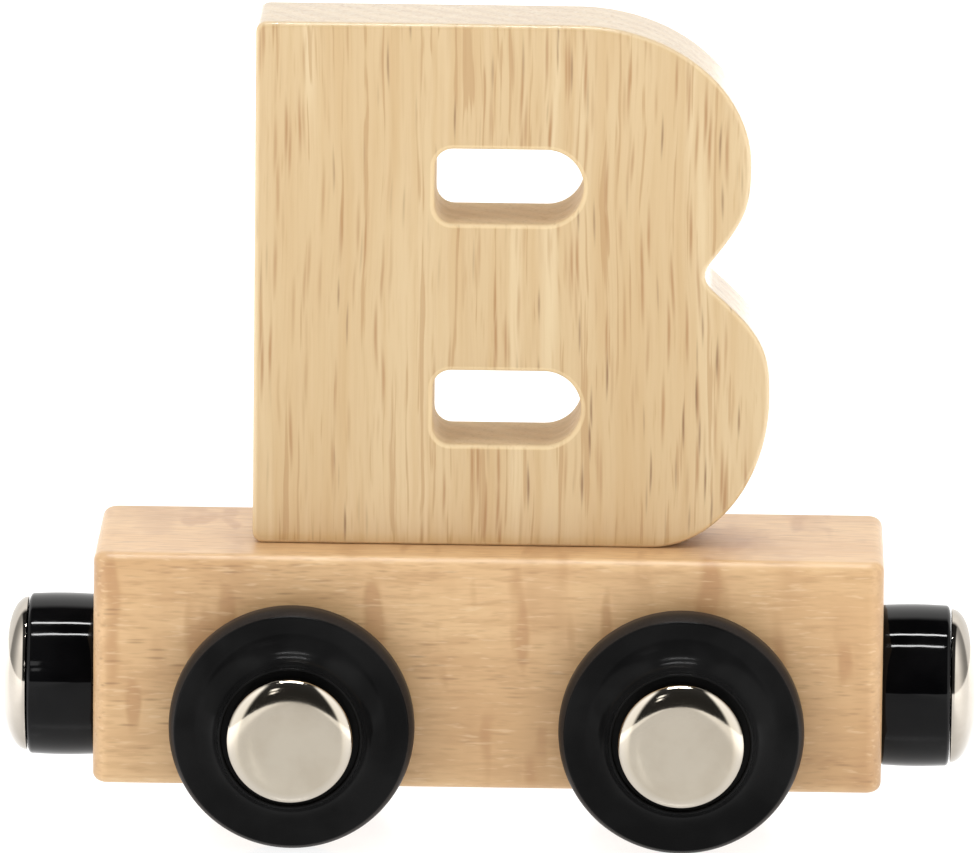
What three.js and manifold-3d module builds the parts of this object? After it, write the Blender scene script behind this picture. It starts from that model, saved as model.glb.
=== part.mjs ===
// A wooden letter train car: a block on four wheels that carries a thick wooden letter.
// Millimetres, +Z up, +X towards the front coupling, origin on the track under the middle.
import * as THREE from "three";
import { mergeVertices } from "three/addons/utils/BufferGeometryUtils.js";
import Module from "manifold-3d";

const wasm = await Module();
wasm.setup();

// Chassis block
const BLOCK_LENGTH = 65;
const BLOCK_WIDTH = 20;
const BLOCK_HEIGHT = 19.45;
const BLOCK_EDGE_ROUND = 0.85;
const BLOCK_CORNER_EXTRA = 0.5;

// Wheels: a disc with a flat running band and rounded shoulders, and a flared hub in front
// whose well takes the edge of the axle cap
const WHEEL_DIAMETER = 20.2;
const WHEEL_WIDTH = 3.9;
const WHEELBASE = 32;
const WHEEL_SIDE_GAP = 0.6;
const TREAD_BAND = 0.6;
const TREAD_DROP = 0.53;
const WHEEL_BOSS_DIAMETER = 7;
const WHEEL_BOSS_HEIGHT = 0.3;
const HUB_HEIGHT = 2.7;
const HUB_FLARE = 2.6;
const HUB_RIM_WIDTH = 0.2;
const HUB_RIM_LAND = 0.1;
const WELL_DEPTH = 0.6;
const WELL_SIDE_GAP = 0.55;
const FACE_LAND = 0.3;

// Axles
const AXLE_DIAMETER = 3;
const AXLE_ABOVE_UNDERSIDE = 5.7;
const AXLE_END_CHAMFER = 0.3;
const AXLE_END_GAP = 0.3;
const RUNNING_CLEARANCE = 0.1;

// Domed axle caps and the toothed springs inside them
const CAP_DIAMETER = 10.3;
const CAP_HEIGHT = 2.1;
const CAP_WALL = 0.4;
const CAP_SKIRT = 0.45;
const CAP_SHOULDER = 1.4;
const CAP_END_PLAY = 0.2;
const SPRING_THICKNESS = 0.3;
const SPRING_SETBACK = 0.15;
const SPRING_TEETH = 6;
const SPRING_SLIT_WIDTH = 0.5;
const SPRING_SLIT_LENGTH = 1.1;
const FIXED_CLEARANCE = 0.05;

// Letter, measured as bars, counters and walls
const LETTER_THICKNESS = 10;
const LETTER_EDGE_ROUND = 0.4;
const LETTER_CORNER_EXTRA = 0.5;
const LETTER_SHIFT = 1.65;
const STEM_WIDTH = 14.75;
const COUNTER_LENGTH = 12.25;
const COUNTER_HEIGHT = 6.2;
const COUNTER_CORNER = 1.5;
const BOTTOM_BAR = 8.5;
const MIDDLE_BAR = 12.3;
const TOP_BAR = 10.4;
const UPPER_BOWL_WALL = 13.75;
const LOWER_BOWL_WALL = 15.5;
const TOP_ROUND_WIDTH = 14.4;
const TOP_ROUND_HEIGHT = 11.6;
const BOTTOM_ROUND_WIDTH = 9.8;
const BOTTOM_ROUND_HEIGHT = 12.7;
const WAIST_WALL = 9.5;
const WAIST_RISE = 8;
const WAIST_BLEND = 1.6;
const UPPER_SWEEP = 5.35;
const LOWER_SWEEP = 5.3;
const BOWL_FULLNESS = 0.86;

// Dowels between letter and block
const DOWEL_DIAMETER = 5;
const DOWEL_SPACING = 21.7;
const DOWEL_IN_LETTER = 7;
const DOWEL_ABOVE_AXLE = 3;
const DOWEL_END_GAP = 0.5;
const DOWEL_CHAMFER = 0.5;

// Magnetic couplings
const COUPLER_ABOVE_UNDERSIDE = 7.1;
const SLEEVE_DIAMETER = 13.5;
const SLEEVE_LENGTH = 5.65;
const SLEEVE_WALL = 1.15;
const SLEEVE_FLOOR = 1.5;
const SLEEVE_RIM_ROUND = 0.6;
const SLEEVE_BACK_CHAMFER = 0.3;
const SPIGOT_DIAMETER = 8;
const SPIGOT_LENGTH = 8;
const SPIGOT_WALL = 0.8;
const SPIGOT_END_GAP = 0.5;
const MAGNET_SETBACK = 0.2;
const DOME_DIAMETER = 12.8;
const DOME_RISE = 2.45;
const DOME_EDGE = 0.15;
const DOME_FLAT_DIAMETER = 2.8;
const DOME_GAP = 0.1;
const STEM_PIN_DIAMETER = 3;
const WASHER_THICKNESS = 0.6;
const WASHER_SEAT_DEPTH = 3.5;
const WASHER_SIDE_GAP = 0.3;
const WASHER_END_PLAY = 0.1;
const CLINCH_LIP = 0.6;
const CLINCH_LENGTH = 0.8;

// Facets of each round form
const WHEEL_SIDES = 32;
const COUPLER_SIDES = 28;
const CAP_SIDES = 24;
const ROD_SIDES = 24;
const CURVE_STEPS = 12;
const SWEEP_STEPS = 6;
const CORNER_STEPS = 3;
const SHOULDER_STEPS = 3;
const CROWN_STEPS = 3;
const FLARE_STEPS = 4;
const DOME_STEPS = 6;
const BLOCK_EDGE_STEPS = 3;
const LETTER_EDGE_STEPS = 2;

// Most of a cap's rise that its round shoulder may take, and the distance at which points are one
const SHOULDER_MOST = 0.9;
const SAME_POINT = 1e-4;

// Heights and distances that follow from the sizes above
const axleHeight = WHEEL_DIAMETER / 2;
const underside = axleHeight - AXLE_ABOVE_UNDERSIDE;
const blockTop = underside + BLOCK_HEIGHT;
const couplerHeight = underside + COUPLER_ABOVE_UNDERSIDE;
const axleRadius = AXLE_DIAMETER / 2;
const axleBoreRadius = axleRadius + RUNNING_CLEARANCE;
const capRadius = CAP_DIAMETER / 2;
const wheelInner = BLOCK_WIDTH / 2 + WHEEL_SIDE_GAP;
const wellFloor = WHEEL_WIDTH + HUB_HEIGHT - WELL_DEPTH;
const capBack = wheelInner + wellFloor + CAP_END_PLAY;
const axleHalfLength = capBack + CAP_HEIGHT - CAP_WALL - AXLE_END_GAP;
const counterEnd = STEM_WIDTH + COUNTER_LENGTH;
const letterWidth = counterEnd + Math.max(UPPER_BOWL_WALL, LOWER_BOWL_WALL);
const letterLeft = LETTER_SHIFT - letterWidth / 2;
const lowerCounter = BOTTOM_BAR;
const upperCounter = BOTTOM_BAR + COUNTER_HEIGHT + MIDDLE_BAR;
const letterHeight = upperCounter + COUNTER_HEIGHT + TOP_BAR;
const dowelRadius = DOWEL_DIAMETER / 2;
const dowelHoleRadius = dowelRadius + FIXED_CLEARANCE;
const dowelFoot = axleHeight + axleBoreRadius + DOWEL_ABOVE_AXLE;
const dowelTop = blockTop + DOWEL_IN_LETTER;
const dowelRear = letterLeft + STEM_WIDTH / 2;
const dowelPlaces = { rear: dowelRear, front: dowelRear + DOWEL_SPACING };
const spigotRadius = SPIGOT_DIAMETER / 2;
const pinRadius = STEM_PIN_DIAMETER / 2;
const pinHoleRadius = pinRadius + RUNNING_CLEARANCE;
const sleeveRadius = SLEEVE_DIAMETER / 2;
const pocketRadius = sleeveRadius - SLEEVE_WALL;
const magnetRadius = pocketRadius - RUNNING_CLEARANCE;
const seatRadius = spigotRadius - SPIGOT_WALL;
const washerRadius = seatRadius - WASHER_SIDE_GAP;
const seatFloor = WASHER_SEAT_DEPTH - SPIGOT_LENGTH;
const domeBack = SLEEVE_LENGTH + DOME_GAP;

// Finishes
const finish = (color, roughness, metalness) => () =>
  new THREE.MeshStandardMaterial({ color, roughness, metalness });
const blockWood = finish("#dab082", 0.55, 0);
const letterWood = finish("#e5c798", 0.6, 0);
const dowelWood = finish("#d9b98a", 0.7, 0);
const blackPlastic = finish("#1c1c1c", 0.45, 0);
const glossBlack = finish("#0e0e0e", 0.15, 0);
const nickel = finish("#c8bca8", 0.12, 1);
const plainSteel = finish("#8d8d8f", 0.35, 1);
const magnetGrey = finish("#3b3a3c", 0.6, 0.4);

const car = new THREE.Group();

function addPiece(name, geometry, material, place = [0, 0, 0], parent = car) {
  const piece = new THREE.Mesh(geometry, material());
  piece.name = name;
  piece.position.set(...place);
  parent.add(piece);
}

// A turned piece round the Y axis, from [radius, distance along the axis] points.
// The flats of its facets stand at the true radius, and one flat faces down.
function turned(profile, sides) {
  const halfStep = Math.PI / sides;
  const points = profile.map(([r, along]) => new THREE.Vector2(r / Math.cos(halfStep), along));
  return new THREE.LatheGeometry(points, sides, halfStep);
}

function closed(profile) {
  return [...profile, profile[0]];
}

// Points of a round corner about a centre, from one angle to another
function roundCorner([centreR, centreAlong], radius, from, to, steps) {
  return Array.from({ length: steps + 1 }, (_, i) => {
    const angle = from + ((to - from) * i) / steps;
    return [centreR + radius * Math.cos(angle), centreAlong + radius * Math.sin(angle)];
  });
}

function toVectors(points) {
  return points.map(([x, y]) => new THREE.Vector2(x, y));
}

// A cap's outside, from its rim up to its middle: a straight edge, a round shoulder and a crown
function capOutline(radius, height, edge, shoulderWanted) {
  const rise = height - edge;
  const shoulder = Math.min(shoulderWanted, rise * SHOULDER_MOST);
  const reach = radius - shoulder;
  const crown = (reach ** 2 + rise ** 2 - shoulder ** 2) / (2 * (rise - shoulder));
  const crownCentre = [0, height - crown];
  const meets = Math.atan2(edge - crownCentre[1], reach);
  return [
    ...roundCorner([reach, edge], shoulder, 0, meets, SHOULDER_STEPS),
    ...roundCorner(crownCentre, crown, meets, Math.PI / 2, CROWN_STEPS).slice(1),
  ];
}

// Booleans
function toSolid(geometry) {
  const bare = geometry.clone();
  bare.deleteAttribute("normal");
  bare.deleteAttribute("uv");
  const merged = mergeVertices(bare, SAME_POINT);
  return new wasm.Manifold(
    new wasm.Mesh({
      numProp: 3,
      vertProperties: merged.attributes.position.array,
      triVerts: new Uint32Array(merged.index.array),
    }),
  );
}

function toGeometry(solid) {
  const mesh = solid.getMesh();
  const geometry = new THREE.BufferGeometry();
  geometry.setAttribute("position", new THREE.BufferAttribute(mesh.vertProperties, 3));
  geometry.setIndex(new THREE.BufferAttribute(mesh.triVerts, 1));
  geometry.computeVertexNormals();
  return geometry;
}

function cutAway(geometry, cutters) {
  const cut = cutters.reduce((solid, cutter) => solid.subtract(toSolid(cutter)), toSolid(geometry));
  return toGeometry(cut);
}

// A plain round rod along Y between two distances
function rod(radius, from, to) {
  return turned([[0, from], [radius, from], [radius, to], [0, to]], ROD_SIDES);
}

// A round rod along Y with both ends chamfered
function chamferedRod(radius, from, to, chamfer) {
  const profile = [
    [0, from],
    [radius - chamfer, from],
    [radius, from + chamfer],
    [radius, to - chamfer],
    [radius - chamfer, to],
    [0, to],
  ];
  return turned(profile, ROD_SIDES);
}

// A flat outline raised along Z with all its edges rounded inside its outer size
function roundedSlab(shape, thickness, edgeRound, edgeSteps) {
  return new THREE.ExtrudeGeometry(shape, {
    depth: thickness - 2 * edgeRound,
    bevelThickness: edgeRound,
    bevelSize: edgeRound,
    bevelOffset: -edgeRound,
    bevelSegments: edgeSteps,
  }).translate(0, 0, edgeRound);
}

// Chassis block
function blockOutline() {
  const corner = BLOCK_EDGE_ROUND + BLOCK_CORNER_EXTRA;
  const right = BLOCK_LENGTH / 2;
  const back = BLOCK_WIDTH / 2;
  const points = [
    [right - corner, back - corner, 0],
    [corner - right, back - corner, Math.PI / 2],
    [corner - right, corner - back, Math.PI],
    [right - corner, corner - back, 1.5 * Math.PI],
  ].flatMap(([x, y, from]) => roundCorner([x, y], corner, from, from + Math.PI / 2, CORNER_STEPS));
  return new THREE.Shape(toVectors(points));
}

function chassisBlock() {
  const block = roundedSlab(blockOutline(), BLOCK_HEIGHT, BLOCK_EDGE_ROUND, BLOCK_EDGE_STEPS);
  block.translate(0, 0, underside);
  const axleBores = [-1, 1].map((end) =>
    rod(axleBoreRadius, -BLOCK_WIDTH, BLOCK_WIDTH).translate((end * WHEELBASE) / 2, 0, axleHeight),
  );
  const spigotBores = [-1, 1].map((end) => {
    const mouth = (end * BLOCK_LENGTH) / 2;
    const depth = SPIGOT_LENGTH + SPIGOT_END_GAP;
    return rod(spigotRadius + FIXED_CLEARANCE, -depth, depth)
      .rotateZ(Math.PI / 2)
      .translate(mouth, 0, couplerHeight);
  });
  return cutAway(block, [...axleBores, ...spigotBores, ...dowelHoles()]);
}

// Upright holes for the dowels, through the joint face of block and letter
function dowelHoles() {
  const foot = dowelFoot - DOWEL_END_GAP;
  const top = dowelTop + DOWEL_END_GAP;
  return Object.values(dowelPlaces).map((x) =>
    rod(dowelHoleRadius, foot, top).rotateX(Math.PI / 2).translate(x, 0, 0),
  );
}

function dowel() {
  return chamferedRod(dowelRadius, dowelFoot, dowelTop, DOWEL_CHAMFER).rotateX(Math.PI / 2);
}

// Letter
function counter(foot) {
  const corner = COUNTER_CORNER;
  const half = COUNTER_HEIGHT / 2;
  const left = STEM_WIDTH + corner;
  const top = foot + COUNTER_HEIGHT;
  const points = [
    ...roundCorner([counterEnd - half, foot + half], half, -Math.PI / 2, Math.PI / 2, CURVE_STEPS),
    ...roundCorner([left, top - corner], corner, Math.PI / 2, Math.PI, CORNER_STEPS),
    ...roundCorner([left, foot + corner], corner, Math.PI, 1.5 * Math.PI, CORNER_STEPS),
  ];
  return new THREE.Path(toVectors(points));
}

// A point part of the way from one point to another
function between(start, end, share) {
  return new THREE.Vector2().lerpVectors(start, end, share);
}

function letterOutline() {
  const corner = LETTER_EDGE_ROUND + LETTER_CORNER_EXTRA;
  const upperRight = counterEnd + UPPER_BOWL_WALL;
  const lowerRight = counterEnd + LOWER_BOWL_WALL;
  const waist = new THREE.Vector2(
    counterEnd + WAIST_WALL,
    lowerCounter + COUNTER_HEIGHT + WAIST_RISE,
  );
  const upperSide = new THREE.Vector2(upperRight, letterHeight - TOP_ROUND_HEIGHT);
  const upperBend = new THREE.Vector2(upperRight, waist.y + UPPER_SWEEP);
  const lowerBend = new THREE.Vector2(lowerRight, waist.y - LOWER_SWEEP);
  const lowerSide = new THREE.Vector2(lowerRight, BOTTOM_ROUND_HEIGHT);
  const aboveWaist = between(waist, upperBend, WAIST_BLEND / waist.distanceTo(upperBend));
  const belowWaist = between(waist, lowerBend, WAIST_BLEND / waist.distanceTo(lowerBend));
  const sweep = (start, bend, end) =>
    new THREE.CubicBezierCurve(
      start,
      between(start, bend, BOWL_FULLNESS),
      between(end, bend, BOWL_FULLNESS),
      end,
    ).getPoints(SWEEP_STEPS);
  const quarterRound = (right, middle, width, height, from) =>
    new THREE.EllipseCurve(right - width, middle, width, height, from, from + Math.PI / 2).getPoints(
      CURVE_STEPS,
    );
  const squareCorner = (height, from) =>
    toVectors(roundCorner([corner, height], corner, from, from + Math.PI / 2, CORNER_STEPS));

  const outline = new THREE.Shape([
    ...quarterRound(lowerRight, lowerSide.y, BOTTOM_ROUND_WIDTH, BOTTOM_ROUND_HEIGHT, -Math.PI / 2),
    ...sweep(lowerSide, lowerBend, belowWaist),
    ...new THREE.QuadraticBezierCurve(belowWaist, waist, aboveWaist).getPoints(CORNER_STEPS),
    ...sweep(aboveWaist, upperBend, upperSide),
    ...quarterRound(upperRight, upperSide.y, TOP_ROUND_WIDTH, TOP_ROUND_HEIGHT, 0),
    ...squareCorner(letterHeight - corner, Math.PI / 2),
    ...squareCorner(corner, Math.PI),
  ]);
  outline.holes = [counter(lowerCounter), counter(upperCounter)];
  return outline;
}

function letter() {
  const slab = roundedSlab(letterOutline(), LETTER_THICKNESS, LETTER_EDGE_ROUND, LETTER_EDGE_STEPS)
    .translate(letterLeft, blockTop, -LETTER_THICKNESS / 2)
    .rotateX(Math.PI / 2);
  return cutAway(slab, dowelHoles());
}

// Wheel, with the boss that faces the block at zero and the hub's rim furthest out
function wheel() {
  const radius = WHEEL_DIAMETER / 2;
  const bossRadius = WHEEL_BOSS_DIAMETER / 2;
  const wellRadius = capRadius + WELL_SIDE_GAP;
  const rimRadius = wellRadius + HUB_RIM_WIDTH;
  const rimFront = WHEEL_WIDTH + HUB_HEIGHT;
  const flareRoom = radius - TREAD_DROP - FACE_LAND - rimRadius;
  const flare = Math.min(HUB_FLARE, HUB_HEIGHT - HUB_RIM_LAND, flareRoom);
  const flareCentre = [rimRadius + flare, WHEEL_WIDTH + flare];
  const shoulderRun = (WHEEL_WIDTH - WHEEL_BOSS_HEIGHT - TREAD_BAND) / 2;
  const bandInner = WHEEL_BOSS_HEIGHT + shoulderRun;
  const shoulderRound = (shoulderRun ** 2 + TREAD_DROP ** 2) / (2 * TREAD_DROP);
  const shoulderAngle = Math.atan2(shoulderRun, shoulderRound - TREAD_DROP);
  const shoulder = roundCorner([radius - shoulderRound, 0], shoulderRound, 0, shoulderAngle, SHOULDER_STEPS);
  const profile = [
    [axleBoreRadius, 0],
    [bossRadius, 0],
    [bossRadius + WHEEL_BOSS_HEIGHT, WHEEL_BOSS_HEIGHT],
    ...shoulder.map(([r, along]) => [r, bandInner - along]).reverse(),
    ...shoulder.map(([r, along]) => [r, bandInner + TREAD_BAND + along]),
    ...roundCorner(flareCentre, flare, -Math.PI / 2, -Math.PI, FLARE_STEPS),
    [rimRadius, rimFront],
    [wellRadius, rimFront],
    [wellRadius, wellFloor],
    [axleBoreRadius, wellFloor],
  ];
  return turned(closed(profile), WHEEL_SIDES);
}

// Domed cap, a thin shell open towards the wheel
function axleCap() {
  const room = capRadius - CAP_WALL;
  const outside = capOutline(capRadius, CAP_HEIGHT, CAP_SKIRT, CAP_SHOULDER);
  const inside = capOutline(room, CAP_HEIGHT - CAP_WALL, CAP_SKIRT, CAP_SHOULDER - CAP_WALL);
  const profile = [...inside.reverse(), [room, 0], [capRadius, 0], ...outside];
  return turned(profile, CAP_SIDES);
}

// Toothed spring washer, whose slits leave teeth round the axle
function capSpring() {
  const rim = capRadius - CAP_WALL - FIXED_CLEARANCE;
  const bite = axleRadius + FIXED_CLEARANCE;
  const halfSlit = SPRING_SLIT_WIDTH / 2;
  const toothHalfAngle = Math.PI / SPRING_TEETH - Math.asin(halfSlit / bite);
  const edge = bite / Math.cos(toothHalfAngle / CORNER_STEPS);
  const slitEnd = bite + SPRING_SLIT_LENGTH;
  const slitHalfAngle = Math.asin(halfSlit / slitEnd);
  const hole = Array.from({ length: SPRING_TEETH }, (_, tooth) => {
    const middle = (2 * Math.PI * tooth) / SPRING_TEETH;
    const slit = middle + Math.PI / SPRING_TEETH;
    return [
      ...roundCorner([0, 0], edge, middle - toothHalfAngle, middle + toothHalfAngle, CORNER_STEPS),
      ...roundCorner([0, 0], slitEnd, slit - slitHalfAngle, slit + slitHalfAngle, 1),
    ];
  }).flat();
  const disc = new THREE.Shape(toVectors(roundCorner([0, 0], rim, 0, 2 * Math.PI, CAP_SIDES)));
  disc.holes = [new THREE.Path(toVectors(hole))];
  return new THREE.ExtrudeGeometry(disc, { depth: SPRING_THICKNESS, bevelEnabled: false }).rotateX(
    -Math.PI / 2,
  );
}

// Coupling pieces, turned about Y with zero at the block's end face and outwards positive
function couplerSleeve() {
  const rimRound = Math.min(SLEEVE_RIM_ROUND, SLEEVE_WALL);
  const rimCentre = [sleeveRadius - rimRound, SLEEVE_LENGTH - rimRound];
  const profile = [
    [pinHoleRadius, SLEEVE_FLOOR],
    [pinHoleRadius, seatFloor],
    [seatRadius, seatFloor],
    [seatRadius, -SPIGOT_LENGTH],
    [spigotRadius, -SPIGOT_LENGTH],
    [spigotRadius, 0],
    [sleeveRadius - SLEEVE_BACK_CHAMFER, 0],
    [sleeveRadius, SLEEVE_BACK_CHAMFER],
    ...roundCorner(rimCentre, rimRound, 0, Math.PI / 2, CORNER_STEPS),
    [pocketRadius, SLEEVE_LENGTH],
    [pocketRadius, SLEEVE_FLOOR],
  ];
  return turned(closed(profile), COUPLER_SIDES);
}

function couplerMagnet() {
  const front = SLEEVE_LENGTH - MAGNET_SETBACK;
  const profile = [
    [pinHoleRadius, SLEEVE_FLOOR],
    [magnetRadius, SLEEVE_FLOOR],
    [magnetRadius, front],
    [pinHoleRadius, front],
  ];
  return turned(closed(profile), COUPLER_SIDES);
}

// Pole dome and its stem in one piece: half an ellipse, flat at its tip, with the stem's end clinched
// behind the washer
function couplerDome() {
  const radius = DOME_DIAMETER / 2;
  const clinchRadius = pinHoleRadius + CLINCH_LIP;
  const clinchFront = seatFloor - WASHER_THICKNESS - 2 * WASHER_END_PLAY;
  const flatAngle = Math.acos(DOME_FLAT_DIAMETER / DOME_DIAMETER);
  const raised = roundCorner([0, 0], radius, 0, flatAngle, DOME_STEPS).map(([r, along]) => [
    r,
    domeBack + DOME_EDGE + (along / radius) * (DOME_RISE - DOME_EDGE),
  ]);
  const tip = raised.at(-1)[1];
  const profile = [
    [0, clinchFront - CLINCH_LENGTH],
    [clinchRadius, clinchFront - CLINCH_LENGTH],
    [clinchRadius, clinchFront],
    [pinRadius, clinchFront],
    [pinRadius, domeBack],
    [radius, domeBack],
    ...raised,
    [0, tip],
  ];
  return turned(profile, COUPLER_SIDES);
}

function couplerWasher() {
  const front = seatFloor - WASHER_END_PLAY;
  const profile = [
    [pinHoleRadius, front - WASHER_THICKNESS],
    [washerRadius, front - WASHER_THICKNESS],
    [washerRadius, front],
    [pinHoleRadius, front],
  ];
  return turned(closed(profile), ROD_SIDES);
}

// Assembly
addPiece("chassis_block", chassisBlock(), blockWood);
addPiece("letter_b", letter(), letterWood);
for (const [end, x] of Object.entries(dowelPlaces)) {
  addPiece("letter_dowel_" + end, dowel(), dowelWood, [x, 0, 0]);
}

const ends = [
  { end: "front", sign: 1 },
  { end: "rear", sign: -1 },
];
const sides = [
  { side: "right", turn: Math.PI },
  { side: "left", turn: 0 },
];

for (const { end, sign } of ends) {
  const axleSet = new THREE.Group();
  axleSet.position.set((sign * WHEELBASE) / 2, 0, axleHeight);
  car.add(axleSet);
  const axle = chamferedRod(axleRadius, -axleHalfLength, axleHalfLength, AXLE_END_CHAMFER);
  addPiece(end + "_axle", axle, plainSteel, [0, 0, 0], axleSet);
  for (const { side, turn } of sides) {
    const outward = new THREE.Group();
    outward.rotation.z = turn;
    axleSet.add(outward);
    const name = end + "_" + side;
    addPiece(name + "_wheel", wheel(), blackPlastic, [0, wheelInner, 0], outward);
    addPiece(name + "_cap", axleCap(), nickel, [0, capBack, 0], outward);
    addPiece(name + "_cap_spring", capSpring(), plainSteel, [0, capBack + SPRING_SETBACK, 0], outward);
  }

  const coupler = new THREE.Group();
  coupler.position.set((sign * BLOCK_LENGTH) / 2, 0, couplerHeight);
  coupler.rotation.z = (-sign * Math.PI) / 2;
  car.add(coupler);
  addPiece(end + "_coupler_sleeve", couplerSleeve(), glossBlack, [0, 0, 0], coupler);
  addPiece(end + "_coupler_magnet", couplerMagnet(), magnetGrey, [0, 0, 0], coupler);
  addPiece(end + "_coupler_dome", couplerDome(), nickel, [0, 0, 0], coupler);
  addPiece(end + "_coupler_washer", couplerWasher(), plainSteel, [0, 0, 0], coupler);
}

export default car;
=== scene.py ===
"""Looks of the letter train car: wood, black plastic and nickel in a pale studio.

Every size is in millimetres and becomes metres when a mesh is made. +X is the
car's front, -Y is the side that the camera looks at, and +Z is up.
"""

from __future__ import annotations

import logging
import math
from dataclasses import dataclass, field
from enum import Enum
from typing import NamedTuple

import bmesh
import bpy
from mathutils import Matrix, Vector
from mathutils.geometry import tessellate_polygon


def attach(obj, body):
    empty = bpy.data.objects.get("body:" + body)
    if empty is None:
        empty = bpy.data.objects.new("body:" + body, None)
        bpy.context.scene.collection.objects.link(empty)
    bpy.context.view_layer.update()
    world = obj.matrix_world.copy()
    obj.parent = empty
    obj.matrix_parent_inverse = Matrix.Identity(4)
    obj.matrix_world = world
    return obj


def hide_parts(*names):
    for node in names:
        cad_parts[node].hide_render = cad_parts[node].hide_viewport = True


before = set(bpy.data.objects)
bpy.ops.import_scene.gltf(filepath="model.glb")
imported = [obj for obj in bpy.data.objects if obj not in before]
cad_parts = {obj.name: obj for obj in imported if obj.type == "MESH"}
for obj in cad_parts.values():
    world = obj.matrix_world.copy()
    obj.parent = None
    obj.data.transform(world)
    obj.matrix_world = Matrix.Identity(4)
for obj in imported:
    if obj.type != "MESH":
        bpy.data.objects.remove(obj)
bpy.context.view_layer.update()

BMesh = bmesh.types.BMesh
Ring = list[bmesh.types.BMVert]
Socket = bpy.types.NodeSocket
Point = tuple[float, float]
Triple = tuple[float, float, float]
Spot = Triple
Colour = Triple
Levels = tuple[Point, Point]
Loop = list[Point]

MM = 0.001
QUARTER = math.pi / 2
CREASE = math.radians(32)
STRAIGHT = math.pi - 0.01
LONG_EDGE = 1.2
SUPPORT = 0.35
TINY = 1e-6
ROD_SEGMENTS = 48
FINE_SEGMENTS = 128
WHEEL_SEGMENTS = 160
UP = Vector((0, 0, 1))
EDGE_LAYER = "edge"
CUT_LAYER = "cut"
log = logging.getLogger("letter_car")


class Named(Enum):
    """A choice whose members the nodes spell in small letters."""

    @property
    def word(self) -> str:
        """The member's name as the nodes spell it."""
        return self.name.lower()


class End(Named):
    """The two ends of the car, with the sign of X on each."""

    FRONT = 1
    REAR = -1


class Side(Named):
    """The two sides of the car, with the sign of Y on each."""

    RIGHT = -1
    LEFT = 1


class Grain(Enum):
    """The way the fibres of a wooden piece run, as the number of its axis."""

    ALONG_CAR = 0
    UPRIGHT = 2

    def spread(self, across: float, along: float) -> Vector:
        """Frequencies for the three axes.

        Args:
            across: Marks per millimetre across the fibres.
            along: Marks per millimetre along the fibres.

        Returns:
            The marks per metre along X, Y and Z.
        """
        scales = Vector((across, across, across))
        scales[self.value] = along
        return scales / MM


# Curves and profiles


def arc(centre: Point, radii: Point, start: float, end: float, steps: int) -> Loop:
    """Points on an upright ellipse.

    Args:
        centre: Middle of the ellipse.
        radii: Half width and half height.
        start: First angle.
        end: Last angle.
        steps: Number of straight pieces.

    Returns:
        The points from the first angle to the last.
    """
    (x, y), (wide, high) = centre, radii
    turns = (start + (end - start) * i / steps for i in range(steps + 1))
    return [(x + wide * math.cos(a), y + high * math.sin(a)) for a in turns]


def bend(points: list[Vector], steps: int) -> Loop:
    """A Bezier curve of any degree.

    Args:
        points: Its control points.
        steps: Number of straight pieces.

    Returns:
        The points along the curve, both ends included.
    """
    found = []
    for i in range(steps + 1):
        level = list(points)
        while len(level) > 1:
            level = [a.lerp(b, i / steps) for a, b in zip(level, level[1:])]
        found.append(tuple(level[0]))
    return found


def soften(corners: list[Triple], steps: int) -> Loop:
    """A closed outline whose corners are rounded.

    Args:
        corners: Each corner's two coordinates and the radius of its round.
        steps: Straight pieces in each round.

    Returns:
        The points of the rounded outline.
    """
    points: Loop = []
    count = len(corners)
    for i, (x, y, radius) in enumerate(corners):
        here = Vector((x, y))
        before = (Vector(corners[i - 1][:2]) - here).normalized()
        after = (Vector(corners[(i + 1) % count][:2]) - here).normalized()
        opening = before.angle(after)
        if radius <= 0 or opening > STRAIGHT:
            points.append((x, y))
            continue
        reach = radius / math.tan(opening / 2)
        first, last = here + before * reach, here + after * reach
        middle = here + (before + after).normalized() * (radius / math.sin(opening / 2))
        for step in range(steps + 1):
            spoke = (first - middle).lerp(last - middle, step / steps)
            points.append(tuple(middle + spoke.normalized() * radius))
    return points


def propped(loop: Loop) -> Loop:
    """Adds a point near both ends of each long edge, so that flat faces shade flat.

    Args:
        loop: A closed outline.

    Returns:
        The outline with the added points.
    """
    points: Loop = []
    for start, end in zip(loop, loop[1:] + loop[:1]):
        a, b = Vector(start), Vector(end)
        points.append(start)
        length = (b - a).length
        if length > LONG_EDGE:
            points.append(tuple(a.lerp(b, SUPPORT / length)))
            points.append(tuple(b.lerp(a, SUPPORT / length)))
    return points


def inset(loop: Loop, distance: float) -> Loop:
    """Moves an outline to its left, with mitred corners.

    Args:
        loop: A closed outline.
        distance: How far it moves.

    Returns:
        The moved outline.
    """
    moved: Loop = []
    for i, here in enumerate(loop):
        before, after = loop[i - 1], loop[(i + 1) % len(loop)]
        first = (Vector(here) - Vector(before)).normalized()
        second = (Vector(after) - Vector(here)).normalized()
        left = Vector((-first.y, first.x)) + Vector((-second.y, second.x))
        spot = Vector(here) + left * (distance / (1 + first.dot(second)))
        moved.append(tuple(spot))
    return moved


def cap_outline(radius: float, height: float, edge: float, steps: int) -> Loop:
    """The outside of a cap, whose flat crown rolls over more and more towards its rim.

    Args:
        radius: Radius at the rim.
        height: Whole height.
        edge: Height of the straight part at the rim.
        steps: Number of straight pieces.

    Returns:
        Points as (radius, height), from the rim's top to the middle.
    """
    rise = height - edge
    turns = (QUARTER * i / steps for i in range(steps + 1))
    return [(radius * math.sqrt(math.cos(a)), edge + rise * math.sin(a)) for a in turns]


# Meshes


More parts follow.
